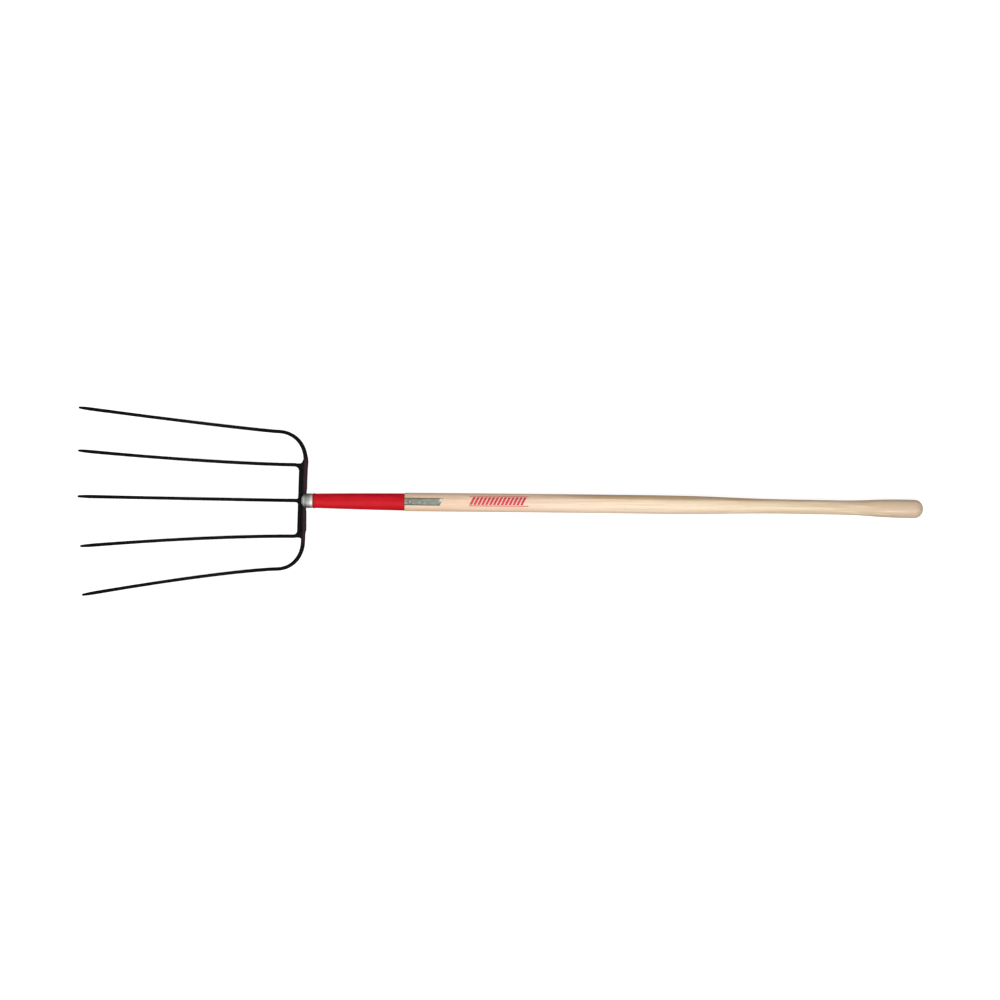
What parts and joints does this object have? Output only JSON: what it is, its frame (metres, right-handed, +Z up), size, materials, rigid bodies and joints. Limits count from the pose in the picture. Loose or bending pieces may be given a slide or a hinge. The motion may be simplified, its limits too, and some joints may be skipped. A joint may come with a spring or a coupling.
{
  "type": "hay fork",
  "caption": "Long-handled hay fork with slender curved tines on a welded crossbar, strapped ferrule and a turned wooden handle with a swelled butt.",
  "frame": {"origin": "on the floor, under the handle's axis and the middle of the tool's length", "axes": "+X along the tool to the butt, +Y across the tines, +Z up, on the hollow side of the tines; the tool lies on its tines' bellies and its butt"},
  "size_m": [1.691, 0.3751, 0.0791],
  "materials": {
    "black_steel": "satin black enamel over forged steel",
    "weld": "black enamel over weld",
    "zinc": "zinc plated",
    "red_paint": "gloss red enamel",
    "ash_wood": "clear lacquer"
  },
  "bodies": {
    "root": {"outer_tine_bow": "black_steel", "inner_tine_bow": "black_steel", "center_tine": "black_steel", "crossbar_weld": "weld", "corner_welds": "weld", "tang_weld": "weld", "ferrule_cap": "zinc", "ferrule_sleeve": "red_paint", "front_strap": "zinc", "rear_strap": "zinc", "strap_rivet": "zinc", "tang_pin": "zinc", "handle": "ash_wood"}
  },
  "joints": []
}
